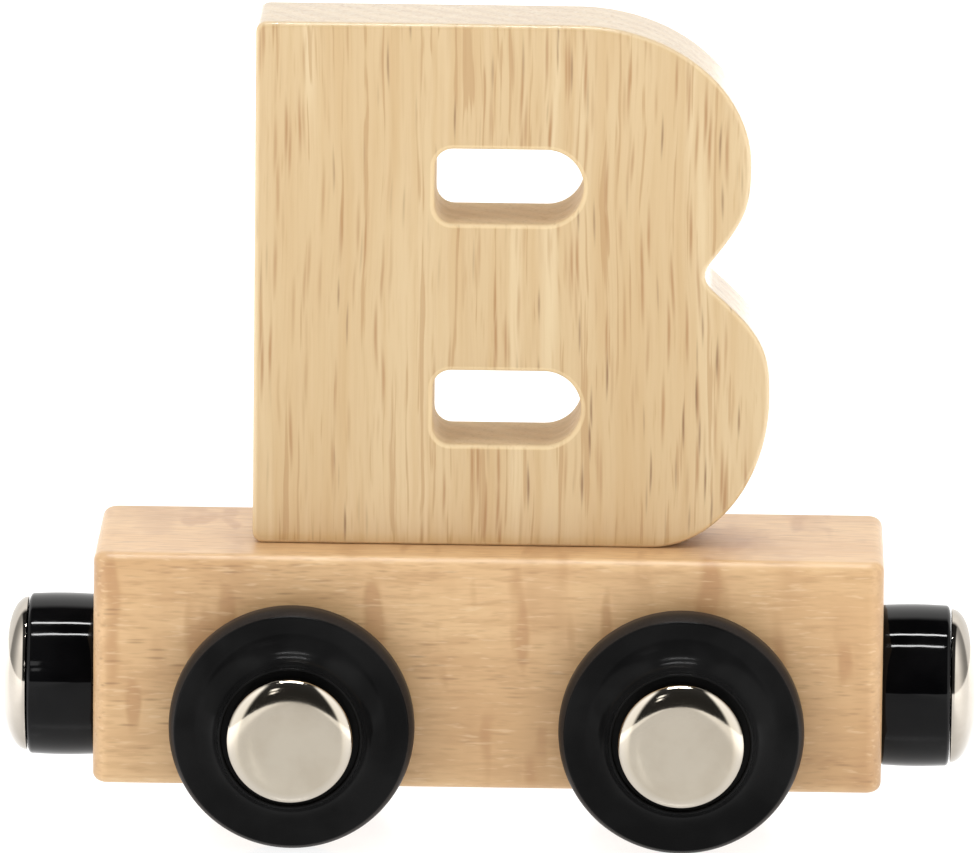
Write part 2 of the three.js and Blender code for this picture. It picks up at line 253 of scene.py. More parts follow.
def make_piece(name: str, bm: BMesh) -> bpy.types.Object:
    """Turns a built mesh into a smooth-shaded object.

    Args:
        name: Name of the piece.
        bm: The mesh in millimetres, which is freed.

    Returns:
        The object, linked to the scene, in metres.
    """
    bmesh.ops.recalc_face_normals(bm, faces=bm.faces)
    bmesh.ops.scale(bm, vec=(MM, MM, MM), verts=bm.verts)
    mesh = bpy.data.meshes.new(name)
    bm.to_mesh(mesh)
    bm.free()
    mesh.shade_smooth()
    mesh.set_sharp_from_angle(angle=CREASE)
    piece = bpy.data.objects.new(name, mesh)
    bpy.context.scene.collection.objects.link(piece)
    return piece


def facing(way: Vector, at: Vector) -> Matrix:
    """A place in millimetres whose third axis points the given way."""
    return Matrix.Translation(at) @ way.to_track_quat("Z", "Y").to_matrix().to_4x4()


@dataclass
class RoundedSlab:
    """A flat outline with holes, raised to a thickness, with every edge rounded."""

    outer: Loop
    holes: list[Loop]
    thickness: float
    edge_round: float
    edge_steps: int = 6

    def levels(self) -> list[Triple]:
        """Lays out the slab's rings.

        Returns:
            The rings from bottom to top, each as (inset, height, edge mark).
        """
        r = self.edge_round
        turns = [QUARTER * i / self.edge_steps for i in range(self.edge_steps + 1)]
        # Edge marks peak halfway round each rounded edge, where the wood's paler edge colour,
        # partly a painted highlight, is strongest.
        rounded = [(r * (1 - math.sin(a)), r * (1 - math.cos(a)), math.sin(2 * a)) for a in turns]
        lower = [(r + SUPPORT, 0.0, 0.0), *rounded, (0.0, r + SUPPORT, 0.0)]
        upper = [(away, self.thickness - height, mark) for away, height, mark in reversed(lower)]
        return lower + upper

    def build(self, place: Matrix) -> BMesh:
        """Makes the closed mesh.

        Args:
            place: Where the slab's outline plane goes, in millimetres.

        Returns:
            The mesh, with a layer of edge marks and one that is 1 on the holes' walls.
        """
        bm = bmesh.new()
        marks = bm.verts.layers.float.new(EDGE_LAYER)
        cuts = bm.verts.layers.float.new(CUT_LAYER)
        loops = [propped(loop) for loop in (self.outer, *self.holes)]
        levels = self.levels()
        rings = []
        for away, height, mark in levels:
            ring = []
            for loop in loops:
                moved = inset(loop, away)
                ring.append([bm.verts.new(place @ Vector((x, y, height))) for x, y in moved])
            for vert in (v for loop in ring for v in loop):
                vert[marks] = mark
            for vert in (v for loop in ring[1:] for v in loop):
                vert[cuts] = 1.0 if away < self.edge_round else 0.0
            rings.append(ring)
        for below, above in zip(rings, rings[1:]):
            for low, high in zip(below, above):
                for i in range(len(low)):
                    j = (i + 1) % len(low)
                    bm.faces.new((low[i], low[j], high[j], high[i]))
        shrunk = [inset(loop, levels[0][0]) for loop in loops]
        triangles = tessellate_polygon([[Vector((x, y, 0)) for x, y in loop] for loop in shrunk])
        for ring in (rings[0], rings[-1]):
            flat = [v for loop in ring for v in loop]
            for corners in triangles:
                bm.faces.new([flat[i] for i in corners])
        return bm


@dataclass
class Turning:
    """A profile of (radius, distance) points turned round an axis.

    Attributes:
        profile: The points.
        marks: The edge marks of some points, by their number.
        closed: True where the last point joins the first.
        segments: Straight pieces round the axis.
    """

    profile: Loop
    marks: dict[int, float] = field(default_factory=dict)
    closed: bool = False
    segments: int = ROD_SEGMENTS

    def build(self, place: Matrix) -> BMesh:
        """Makes the closed mesh.

        Args:
            place: Where the axis goes: its third column is the way along it.

        Returns:
            The mesh in millimetres.
        """
        bm = bmesh.new()
        layer = bm.verts.layers.float.new(EDGE_LAYER)
        rings = []
        for i, (radius, along) in enumerate(self.profile):
            count = self.segments if radius > TINY else 1
            turns = [2 * math.pi * k / count for k in range(count)]
            spots = [Vector((radius * math.cos(a), radius * math.sin(a), along)) for a in turns]
            ring = [bm.verts.new(place @ spot) for spot in spots]
            for vert in ring:
                vert[layer] = self.marks.get(i, 0.0)
            rings.append(ring)
        pairs = list(zip(rings, rings[1:]))
        if self.closed:
            pairs.append((rings[-1], rings[0]))
        for first, second in pairs:
            self._join(bm, first, second)
        return bm

    def _join(self, bm: BMesh, first: Ring, second: Ring) -> None:
        """Fills the band between two rings.

        Args:
            bm: The mesh.
            first: One ring, which may be a single point.
            second: The other ring, which may be a single point.
        """
        for k in range(self.segments):
            n = (k + 1) % self.segments
            corners = [first[k % len(first)], first[n % len(first)]]
            corners += [second[n % len(second)], second[k % len(second)]]
            bm.faces.new(list(dict.fromkeys(corners)))


@dataclass(frozen=True)
class Bore:
    """A round hole.

    Attributes:
        place: Where it is: the third column is the way along its axis.
        radius: Its radius.
        first: Where it starts along its axis.
        last: Where it ends along its axis.
    """

    place: Matrix
    radius: float
    first: float
    last: float

    def cut(self, piece: bpy.types.Object) -> None:
        """Cuts the hole into a piece.

        Args:
            piece: The piece, whose mesh is replaced by the cut one.
        """
        radius, first, last = self.radius, self.first, self.last
        rod = Turning([(0, first), (radius, first), (radius, last), (0, last)])
        cutter = make_piece("bore_cutter", rod.build(self.place))
        cut = piece.modifiers.new("bore", "BOOLEAN")
        cut.operation = "DIFFERENCE"
        cut.solver = "EXACT"
        cut.object = cutter
        graph = bpy.context.evaluated_depsgraph_get()
        mesh = bpy.data.meshes.new_from_object(piece.evaluated_get(graph))
        piece.modifiers.remove(cut)
        bpy.data.objects.remove(cutter)
        old, piece.data = piece.data, mesh
        name = old.name
        bpy.data.meshes.remove(old)
        mesh.name = name


# Nodes


class Noise(NamedTuple):
    """A noise in a piece's own place.

    Attributes:
        scales: Marks per metre along X, Y and Z.
        detail: Octaves.
        shift: Offset that makes it differ from others.
    """

    scales: Vector
    detail: float
    shift: float


def evenly(rate: float) -> Vector:
    """Turns marks per millimetre every way into marks per metre along X, Y and Z."""
    return Vector((rate, rate, rate)) / MM


class NodeSheet:
    """A node tree, with short methods for the few kinds of node that the scene uses."""

    RANGE_INPUTS = slice(1, 5)
    MIX_SHARE, MIX_FIRST, MIX_SECOND = 0, 6, 7
    MIX_COLOUR = 2

    def __init__(self, tree: bpy.types.NodeTree) -> None:
        """Takes a tree as it is."""
        self.tree = tree

    def add(self, kind: str, inputs: dict[str, object] | None = None) -> bpy.types.Node:
        """Adds a node.

        Args:
            kind: Its type.
            inputs: What its inputs take, by their names.

        Returns:
            The node.
        """
        node = self.tree.nodes.new(kind)
        for name, value in (inputs or {}).items():
            self.fill(node.inputs[name], value)
        return node

    def fill(self, target: Socket, value: object) -> None:
        """Links a socket, or sets a number, a vector or a colour, on an input.

        Args:
            target: The input.
            value: What it takes.
        """
        if isinstance(value, Socket):
            self.tree.links.new(value, target)
        elif isinstance(value, tuple) and target.type == "RGBA":
            target.default_value = (*value, 1.0)
        else:
            target.default_value = value

    def ramp(self, value: Socket, span: Point, to: Point = (0.0, 1.0)) -> Socket:
        """Spreads part of a value's range smoothly over another range.

        Args:
            value: The value.
            span: The part of its range.
            to: The range it becomes.

        Returns:
            The new value.
        """
        node = self.add("ShaderNodeMapRange", {"Value": value})
        node.interpolation_type = "SMOOTHSTEP"
        for socket, number in zip(node.inputs[self.RANGE_INPUTS], (*span, *to)):
            socket.default_value = number
        return node.outputs["Result"]

    def reckon(self, operation: str, *values: object) -> Socket:
        """Puts one or two values through a Math node.

        Args:
            operation: The node's operation.
            *values: Sockets or numbers.

        Returns:
            The result.
        """
        node = self.add("ShaderNodeMath")
        node.operation = operation
        for socket, value in zip(node.inputs, values):
            self.fill(socket, value)
        return node.outputs["Value"]

    def times(self, first: Socket, second: object) -> Socket:
        """The product of two values."""
        return self.reckon("MULTIPLY", first, second)

    def amount_along(self, axis: int, vector: Socket) -> Socket:
        """The size, without its sign, of a vector's part along one axis."""
        parts = self.add("ShaderNodeSeparateXYZ", {"Vector": vector})
        return self.reckon("ABSOLUTE", parts.outputs[axis])

    def blend(self, share: object, first: object, second: object) -> Socket:
        """Mixes two colours.

        Args:
            share: How far the mix is from the first colour to the second.
            first: The first colour, or a socket.
            second: The second colour, or a socket.

        Returns:
            The mix.
        """
        node = self.add("ShaderNodeMix")
        node.data_type = "RGBA"
        self.fill(node.inputs[self.MIX_SHARE], share)
        self.fill(node.inputs[self.MIX_FIRST], first)
        self.fill(node.inputs[self.MIX_SECOND], second)
        return node.outputs[self.MIX_COLOUR]


class MaterialSheet(NodeSheet):
    """A material's nodes round one Principled shader."""

    SHIFT_WAYS = (1.0, 1.7, 0.6)
    WANDER_DETAIL = 3.0
    WANDER_SHIFT = 0.4
    RING_TURN = math.pi / 10
    RING_WAVES: dict[str, object] = {"Distortion": 1.5, "Detail": 2.0, "Detail Scale": 0.6}

    def __init__(self, name: str) -> None:
        """Starts a material.

        Args:
            name: Name of the material.
        """
        self.material = bpy.data.materials.new(name)
        self.material.use_nodes = True
        super().__init__(self.material.node_tree)
        self.tree.nodes.clear()
        self.shader = self.add("ShaderNodeBsdfPrincipled")
        self.add("ShaderNodeOutputMaterial", {"Surface": self.shader.outputs["BSDF"]})
        self.spot = self.add("ShaderNodeTexCoord").outputs["Object"]

    def shade(self, inputs: dict[str, object]) -> None:
        """Fills the shader's inputs, by their names."""
        for name, value in inputs.items():
            self.fill(self.shader.inputs[name], value)

    def shifted(self, shift: float) -> Vector:
        """The move along X, Y and Z that a shift stands for."""
        return Vector([way * shift for way in self.SHIFT_WAYS])

    def stretch(self, scales: Vector, offset: Vector, lean: float) -> Socket:
        """The piece's own place, stretched and moved.

        Args:
            scales: Marks per metre along X, Y and Z.
            offset: Move after the stretch.
            lean: Turn about Y, in radians.

        Returns:
            The new place.
        """
        inputs = {"Vector": self.spot, "Location": offset, "Scale": scales}
        mapping = self.add("ShaderNodeMapping", inputs)
        mapping.inputs["Rotation"].default_value = (0.0, lean, 0.0)
        return mapping.outputs["Vector"]

    def noise_node(self, noise: Noise, lean: float = 0.0) -> bpy.types.Node:
        """Adds a noise's node.

        Args:
            noise: The noise.
            lean: Turn about Y, in radians.

        Returns:
            The node.
        """
        place = self.stretch(noise.scales, self.shifted(noise.shift), lean)
        inputs = {"Vector": place, "Scale": 1.0, "Detail": noise.detail}
        return self.add("ShaderNodeTexNoise", inputs)

    def noise(self, noise: Noise, lean: float = 0.0) -> Socket:
        """The level of a noise, about 0.5 on average."""
        return self.noise_node(noise, lean).outputs["Fac"]

    def scatter(self, scales: Vector, shift: float, lean: float) -> Socket:
        """Scatters points in the piece's own place.

        Args:
            scales: Points per metre along X, Y and Z.
            shift: Offset that makes these points differ from others.
            lean: Turn about Y, in radians.

        Returns:
            The distance to the nearest point, about 0.5 on average.
        """
        place = self.stretch(scales, self.shifted(shift), lean)
        cells = self.add("ShaderNodeTexVoronoi", {"Vector": place, "Scale": 1.0})
        return cells.outputs["Distance"]

    def rings(self, grain: Grain, pith: Vector, spacing: float) -> Socket:
        """Growth rings round a pith that runs along the fibres.

        Args:
            grain: The way the fibres run.
            pith: A point on the pith, in millimetres.
            spacing: Width of one ring, in millimetres.

        Returns:
            The rings' level from 0 to 1.
        """
        inputs = {"Vector": self.stretch(evenly(1.0), -pith, 0.0), **self.RING_WAVES}
        wave = self.add("ShaderNodeTexWave", inputs)
        wave.inputs["Scale"].default_value = self.RING_TURN / spacing
        wave.wave_type = "RINGS"
        wave.rings_direction = "XYZ"[grain.value]
        return wave.outputs["Fac"]

    def wander(self, scales: Vector, reach: float) -> None:
        """Bends the place that all later marks are read at, so that fibres run in gentle waves.

        Args:
            scales: Waves per metre along X, Y and Z.
            reach: Largest shift, in millimetres.
        """
        noise = self.noise_node(Noise(scales, self.WANDER_DETAIL, self.WANDER_SHIFT))
        moved = self.add("ShaderNodeVectorMath")
        moved.operation = "MULTIPLY_ADD"
        width = 2 * reach * MM
        values = (noise.outputs["Color"], (width, width, width), self.spot)
        for socket, value in zip(moved.inputs, values):
            self.fill(socket, value)
        self.spot = moved.outputs["Vector"]

    def facing_along(self, axis: int) -> Socket:
        """How squarely the surface faces along one of the piece's axes, from 0 to 1."""
        return self.amount_along(axis, self.add("ShaderNodeTexCoord").outputs["Normal"])

    def layer(self, name: str) -> Socket:
        """Reads the marks that the meshes carry in one of their layers.

        Args:
            name: The layer.

        Returns:
            The marks' level.
        """
        node = self.add("ShaderNodeAttribute")
        node.attribute_name = name
        return node.outputs["Fac"]

    def bump(self, height: Socket, depth: float, strength: float) -> None:
        """Roughens the shader's normal.

        Args:
            height: Height from 0 to 1.
            depth: Height of a full step, in millimetres.
            strength: Share of the effect.
        """
        inputs = {"Height": height, "Distance": depth * MM, "Strength": strength}
        self.shade({"Normal": self.add("ShaderNodeBump", inputs).outputs["Normal"]})


# Finishes


@dataclass(frozen=True)
class Marks:
    """One set of marks in a wood.

    Attributes:
        across: Marks per millimetre across the fibres.
        along: Marks per millimetre along the fibres.
        span: Noise levels where a mark starts and where it is full.
        colour: Colour of a full mark.
        strength: How far a full mark takes on that colour.
        shift: Offset that makes these marks differ from others.
        detail: Octaves of the noise.
    """

    across: float
    along: float
    span: Point
    colour: Colour
    strength: float
    shift: float
    detail: float = 2.0


@dataclass(frozen=True)
class Pores:
    """One set of cut-open pores in a wood, each a short dark dash along the fibres.

    Attributes:
        across: Points per millimetre across the fibres.
        along: Points per millimetre along the fibres.
        reach: Distance from a point at which its dash ends.
        colour: Colour of a dash.
        strength: How far a dash takes on that colour.
        shift: Offset that makes these pores differ from others.
        bands: Width in millimetres of the bands that hold the pores.
    """

    across: float
    along: float
    reach: float
    colour: Colour
    strength: float
    shift: float
    bands: float


@dataclass(frozen=True)
class WoodFinish:
    """Sanded, lacquered wood with its fibres, pores and figure.

    Attributes:
        name: Name of the material.
        grain: The way the fibres run.
        pale: The wood's pale tint.
        deep: The wood's deep tint.
        marks: Its streaks and flecks.
        pores: Its pores.
        edge_colour: Colour of the sanded edges, which also paints a highlight along them.
        end_colour: Colour where the fibres end.
        edge_share: How far the edges take on their colour.
        end_share: How far the fibres' ends take on their colour.
        cut_share: How far the slots' walls take on the edges' colour.
        lean: Turn of the fibres about Y, in radians.
        waves: How far the fibres wander, in millimetres.
        roughness: Least and most roughness of the fibres.
        gloss: Specular level.
        lacquer: Weight of the lacquer.
        lacquer_roughness: Roughness of the lacquer.
    """

    name: str
    grain: Grain
    pale: Colour
    deep: Colour
    marks: tuple[Marks, ...]
    pores: tuple[Pores, ...]
    edge_colour: Colour
    end_colour: Colour
    edge_share: float = 0.18
    end_share: float = 0.45
    cut_share: float = 0.0
    lean: float = 0.0
    waves: float = 0.5
    roughness: Point = (0.42, 0.56)
    gloss: float = 0.4
    lacquer: float = 0.3
    lacquer_roughness: float = 0.22

    WAVE_RATES = (0.10, 0.045)
    TINT_RATES = (0.11, 0.012)
    TINT_SPAN = (0.34, 0.66)
    TINT_DETAIL, TINT_SHIFT = 3.0, 3.1
    FIBRE_RATES = (4.5, 0.2)
    FIBRE_SPAN = (0.3, 0.7)
    FIBRE_DETAIL, FIBRE_SHIFT = 3.0, 9.4
    FIBRE_DEPTH, FIBRE_BUMP = 0.06, 0.35
    END_SPAN = (0.3, 0.95)
    PITH = Vector((22.0, 30.0, -18.0))
    RING_WIDTH = 2.3
    LATE_WOOD = 0.76
    CUT_ROUGHNESS = 0.3
    CUT_LACQUER = 0.1
    DASH_HEART = 0.05
    BAND_STRETCH = 0.15
    BAND_DETAIL, BAND_SHIFT = 1.0, 2.3
    BAND_LEVELS = ((0.40, 0.60), (0.12, 1.0))

    def build(self) -> bpy.types.Material:
        """Makes the material.

        Returns:
            The material.
        """
        sheet = MaterialSheet(self.name)
        sheet.wander(self.grain.spread(*self.WAVE_RATES), self.waves)
        colour = self.figure(sheet)
        fibres = Noise(self.grain.spread(*self.FIBRE_RATES), self.FIBRE_DETAIL, self.FIBRE_SHIFT)
        fibre = sheet.noise(fibres, self.lean)
        rough = sheet.ramp(fibre, self.FIBRE_SPAN, self.roughness)
        sheet.shade({"Coat Weight": self.lacquer, "Coat Roughness": self.lacquer_roughness})
        if self.cut_share > 0:
            cut = sheet.layer(CUT_LAYER)
            colour = sheet.blend(sheet.times(cut, self.cut_share), colour, self.edge_colour)
            rough = sheet.reckon("ADD", rough, sheet.times(cut, self.CUT_ROUGHNESS))
            thinned = (self.lacquer, self.CUT_LACQUER * self.lacquer)
            sheet.shade({"Coat Weight": sheet.ramp(cut, (0.0, 1.0), thinned)})
        # Paler sanded edges, partly a painted highlight along the rounded edges.
        edges = sheet.times(sheet.layer(EDGE_LAYER), self.edge_share)
        colour = sheet.blend(edges, colour, self.edge_colour)
        sheet.shade({"Base Color": colour, "Roughness": rough, "Specular IOR Level": self.gloss})
        sheet.bump(fibre, self.FIBRE_DEPTH, self.FIBRE_BUMP)
        return sheet.material

    def figure(self, sheet: MaterialSheet) -> Socket:
        """The wood's colour with its tints, marks, pores and growth rings.

        Args:
            sheet: The material's nodes.

        Returns:
            The colour.
        """
        tints = Noise(self.grain.spread(*self.TINT_RATES), self.TINT_DETAIL, self.TINT_SHIFT)
        deeper = sheet.ramp(sheet.noise(tints, self.lean), self.TINT_SPAN)
        colour = sheet.blend(deeper, self.pale, self.deep)
        for marks in self.marks:
            spread = self.grain.spread(marks.across, marks.along)
            level = sheet.noise(Noise(spread, marks.detail, marks.shift), self.lean)
            share = sheet.times(sheet.ramp(level, marks.span), marks.strength)
            colour = sheet.blend(share, colour, marks.colour)
        for pores in self.pores:
            colour = sheet.blend(self.dashes(sheet, pores), colour, pores.colour)
        squarely = sheet.facing_along(self.grain.value)
        ends = sheet.ramp(squarely, self.END_SPAN, (0.0, self.end_share))
        late = tuple(self.LATE_WOOD * part for part in self.end_colour)
        rings = sheet.rings(self.grain, self.PITH, self.RING_WIDTH)
        return sheet.blend(ends, colour, sheet.blend(rings, self.end_colour, late))

    def dashes(self, sheet: MaterialSheet, pores: Pores) -> Socket:
        """How far each spot takes on the colour of a set of pores.

        Args:
            sheet: The material's nodes.
            pores: The set.

        Returns:
            The share from 0 to the set's strength.
        """
        spread = self.grain.spread(pores.across, pores.along)
        near = sheet.scatter(spread, pores.shift, self.lean)
        heart = self.DASH_HEART * pores.reach
        dash = sheet.ramp(near, (heart, pores.reach), (pores.strength, 0.0))
        spread = self.grain.spread(1 / pores.bands, self.BAND_STRETCH / pores.bands)
        bands = Noise(spread, self.BAND_DETAIL, pores.shift + self.BAND_SHIFT)
        return sheet.times(dash, sheet.ramp(sheet.noise(bands, self.lean), *self.BAND_LEVELS))


@dataclass(frozen=True)
class PlasticFinish:
    """Moulded black plastic with faint flow marks, and a painted reflection on its marked edges.

    Attributes:
        name: Name of the material.
        base: Its colour.
        painted_reflection: Colour painted on the marked edges, standing for the wooden block
            mirrored there.
        roughness: Least and most roughness.
        gloss: Specular level.
        grit: Unevenness of the surface, in marks per millimetre.
        depth: Depth of the unevenness, in millimetres.
    """

    name: str
    base: Colour
    painted_reflection: Colour
    roughness: Point
    gloss: float
    grit: float
    depth: float

    FLOW = Noise(evenly(0.16), detail=3.0, shift=5.2)
    FLOW_SPAN = (0.35, 0.7)
    FLOW_FACTOR, FLOW_LIFT = 1.6, 0.002
    ROUGH_SPAN = (0.3, 0.7)
    GRIT_DETAIL, GRIT_SHIFT = 2.0, 8.1
    GRIT_BUMP = 0.3
    REFLECTION_LEVELS = ((0.35, 0.65), (0.8, 1.0))
    REFLECTION_ROUGHNESS = 0.3

    def build(self) -> bpy.types.Material:
        """Makes the material.

        Returns:
            The material.
        """
        sheet = MaterialSheet(self.name)
        flow = sheet.noise(self.FLOW)
        grit = sheet.noise(Noise(evenly(self.grit), self.GRIT_DETAIL, self.GRIT_SHIFT))
        paler = tuple(self.FLOW_FACTOR * part + self.FLOW_LIFT for part in self.base)
        colour = sheet.blend(sheet.ramp(flow, self.FLOW_SPAN), self.base, paler)
        # Painted reflection: the marked edges (the wheels' treads) take on a brownish colour for
        # the wooden block mirrored in them, and get rougher.
        reflection_share = sheet.times(sheet.layer(EDGE_LAYER), sheet.ramp(grit, *self.REFLECTION_LEVELS))
        colour = sheet.blend(reflection_share, colour, self.painted_reflection)
        rough = sheet.ramp(flow, self.ROUGH_SPAN, self.roughness)
        rough = sheet.reckon("ADD", rough, sheet.times(reflection_share, self.REFLECTION_ROUGHNESS))
        sheet.shade({"Base Color": colour, "Roughness": rough, "Specular IOR Level": self.gloss})
        sheet.bump(grit, self.depth, self.GRIT_BUMP)
        return sheet.material


@dataclass(frozen=True)
class MetalFinish:
    """Plated or plain metal with a faint haze, fine rubbing marks and a painted highlight on its
    marked edges.

    Attributes:
        name: Name of the material.
        base: Its colour.
        haze: Colour of the haze.
        roughness: Least and most roughness.
        depth: Depth of the rubbing marks, in millimetres.
        polished: Colour of the painted highlight on the marked edges.
        rub: Rubbing marks per millimetre along X, Y and Z.
    """

    name: str
    base: Colour
    haze: Colour
    roughness: Point
    depth: float
    polished: Colour = (0.58, 0.53, 0.455)
    rub: Triple = (3.0, 3.0, 3.0)

    CLOUD = Noise(evenly(0.3), detail=4.0, shift=2.7)
    CLOUD_SPAN = (0.35, 0.75)
    ROUGH_SPAN = (0.3, 0.75)
    RUB_DETAIL, RUB_SHIFT = 3.0, 6.3
    RUB_BUMP = 0.25

    def build(self) -> bpy.types.Material:
        """Makes the material.

        Returns:
            The material.
        """
        sheet = MaterialSheet(self.name)
        cloud = sheet.noise(self.CLOUD)
        rub = sheet.noise(Noise(Vector(self.rub) / MM, self.RUB_DETAIL, self.RUB_SHIFT))
        colour = sheet.blend(sheet.ramp(cloud, self.CLOUD_SPAN), self.base, self.haze)
        # Painted highlight: the marked edges (the caps' shoulders) are brighter, for the pale
        # room mirrored there.
        colour = sheet.blend(sheet.layer(EDGE_LAYER), colour, self.polished)
        rough = sheet.ramp(cloud, self.ROUGH_SPAN, self.roughness)
        sheet.shade({"Base Color": colour, "Metallic": 1.0, "Roughness": rough})
        sheet.bump(rub, self.depth, self.RUB_BUMP)
        return sheet.material


Finish = WoodFinish | PlasticFinish | MetalFinish

LETTER_WOOD = WoodFinish(
    name="letter_wood",
    grain=Grain.UPRIGHT,
    pale=(0.672, 0.501, 0.280),
    deep=(0.622, 0.443, 0.230),
    edge_colour=(0.93, 0.75, 0.47),
    end_colour=(0.50, 0.35, 0.19),
    edge_share=0.34,
    cut_share=0.25,
    lean=math.radians(-0.8),
    waves=0.7,
    lacquer=0.85,
    lacquer_roughness=0.18,
    marks=(
        Marks(0.75, 0.02, (0.42, 0.70), (0.560, 0.362, 0.160), 0.50, 1.3),
        Marks(0.50, 0.02, (0.52, 0.74), (0.765, 0.610, 0.372), 0.55, 4.6),
        Marks(4.50, 0.14, (0.45, 0.75), (0.520, 0.330, 0.150), 0.25, 7.2, detail=3.0),
        Marks(2.20, 0.050, (0.60, 0.68), (0.420, 0.225, 0.075), 0.50, 27.6),
    ),
    pores=(
        Pores(2.6, 0.20, 0.34, (0.450, 0.250, 0.085), 0.34, 17.4, bands=5.0),
        Pores(1.8, 0.100, 0.42, (0.365, 0.168, 0.045), 0.76, 13.3, bands=7.0),
        Pores(1.5, 0.090, 0.25, (0.220, 0.102, 0.033), 0.82, 23.8, bands=9.0),
    ),
)
BLOCK_WOOD = WoodFinish(
    name="block_wood",
    grain=Grain.ALONG_CAR,
    pale=(0.755, 0.500, 0.258),
    deep=(0.640, 0.390, 0.185),
    edge_colour=(0.88, 0.62, 0.35),
    end_colour=(0.52, 0.31, 0.15),
    lacquer=0.5,
    lacquer_roughness=0.38,
    marks=(
        Marks(0.06, 0.17, (0.50, 0.70), (0.500, 0.275, 0.125), 0.50, 31.1),
        Marks(0.11, 0.42, (0.58, 0.71), (0.465, 0.230, 0.092), 0.60, 61.4, detail=1.0),
        Marks(0.80, 0.10, (0.45, 0.70), (0.560, 0.325, 0.148), 0.46, 35.7, detail=4.0),
        Marks(2.00, 0.32, (0.52, 0.70), (0.500, 0.280, 0.125), 0.40, 66.2, detail=3.0),
        Marks(3.60, 0.30, (0.48, 0.70), (0.520, 0.295, 0.138), 0.36, 39.2, detail=3.0),
        Marks(3.20, 0.45, (0.58, 0.72), (0.860, 0.640, 0.390), 0.36, 43.8),
    ),
    pores=(
        Pores(3.0, 0.50, 0.42, (0.380, 0.200, 0.085), 0.42, 47.5, bands=7.0),
        Pores(2.0, 0.25, 0.32, (0.300, 0.150, 0.060), 0.55, 52.1, bands=9.0),
    ),
)
DOWEL_WOOD = WoodFinish(
    name="dowel_wood",
    grain=Grain.UPRIGHT,
    pale=(0.690, 0.480, 0.250),
    deep=(0.580, 0.380, 0.185),
    edge_colour=(0.70, 0.50, 0.28),
    end_colour=(0.42, 0.27, 0.14),
    lacquer=0.0,
    marks=(Marks(2.4, 0.15, (0.5, 0.75), (0.420, 0.240, 0.105), 0.5, 51.3),),
    pores=(Pores(2.0, 0.15, 0.17, (0.300, 0.160, 0.070), 0.6, 57.7, bands=4.0),),
)
WHEEL_BLACK = PlasticFinish(
    name="wheel_black",
    base=(0.0054, 0.0054, 0.0055),
    # The treads' brownish colour is a painted reflection of the wooden block.
    painted_reflection=(0.046, 0.037, 0.032),
    roughness=(0.14, 0.19),
    gloss=0.042,
    grit=5.0,
    depth=0.004,
)
SLEEVE_BLACK = PlasticFinish(
    name="sleeve_black",
    base=(0.0012, 0.0012, 0.0015),
    painted_reflection=(0.020, 0.020, 0.021),
    roughness=(0.04, 0.07),
    gloss=0.16,
    grit=0.28,
    depth=0.07,
)
CAP_NICKEL = MetalFinish(
    name="cap_nickel",
    base=(0.530, 0.476, 0.390),
    haze=(0.485, 0.430, 0.346),
    roughness=(0.07, 0.11),
    depth=0.004,
)
DOME_NICKEL = MetalFinish(
    name="dome_nickel",
    base=(0.498, 0.456, 0.403),
    haze=(0.442, 0.402, 0.348),
    roughness=(0.06, 0.11),
    depth=0.003,
)
PLAIN_STEEL = MetalFinish(
    name="plain_steel",
    base=(0.460, 0.455, 0.450),
    haze=(0.360, 0.350, 0.340),
    roughness=(0.26, 0.40),
    depth=0.006,
    rub=(6.0, 0.3, 6.0),
)
MAGNET_GREY = MetalFinish(
    name="magnet_grey",
    base=(0.070, 0.068, 0.070),
    haze=(0.045, 0.044, 0.046),
    roughness=(0.50, 0.65),
    depth=0.03,
)


class Row(NamedTuple):
    """What a finished piece stands for.

    Attributes:
        body: The body that it moves with.
        node: The node that it stands for.
        slot: The record's material slot.
    """

    body: str
    node: str
    slot: str


class Workshop:
    """Puts the pieces in their nodes' places and dresses them, with each material made once."""

    def __init__(self) -> None:
        """Starts with no material made."""
        self._made: dict[str, bpy.types.Material] = {}

    def dress(self, piece: bpy.types.Object, finish: Finish) -> None:
        """Gives a piece one finish all over.

        Args:
            piece: A new piece or a carried-over node.
            finish: Its finish.
        """
        if finish.name not in self._made:
            self._made[finish.name] = finish.build()
        piece.data.materials.clear()
        piece.data.materials.append(self._made[finish.name])

    def keep(self, node: str, finish: Finish) -> None:
        """Dresses a hidden node, whose solid is shown as it is.

        Args:
            node: The node.
            finish: Its finish.
        """
        self.dress(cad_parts[node], finish)
        log.info("%s keeps its solid", node)

    def fit(self, piece: bpy.types.Object, body: str, node: str, slot: str) -> None:
        """Puts a piece in its node's place.

        Args:
            piece: The piece, in its place at rest.
            body: The body that it moves with.
            node: The node that it stands for.
            slot: The record's material slot; not used.
        """
        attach(piece, body)
        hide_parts(node)
        log.info("%s rides on %s", piece.name, body)

    def turn(self, turning: Turning, place: Matrix, finish: Finish, row: Row) -> None:
        """Makes, dresses and fits a turned piece.

        Args:
            turning: Its profile.
            place: Where its axis goes.
            finish: Its finish.
            row: What it stands for.
        """
        piece = make_piece(row.node + "_finished", turning.build(place))
        self.dress(piece, finish)
        self.fit(piece, *row)

    def mill(self, mesh: BMesh, bores: list[Bore], finish: Finish, row: Row) -> None:
        """Makes, bores, dresses and fits a wooden piece.

        Args:
            mesh: Its mesh without holes, in millimetres.
            bores: Its holes.
            finish: Its finish.
            row: What it stands for.
        """
        piece = make_piece(row.node + "_finished", mesh)
        for bore in bores:
            bore.cut(piece)
        piece.data.set_sharp_from_angle(angle=CREASE)
        self.dress(piece, finish)
        self.fit(piece, *row)


# Sub-assemblies


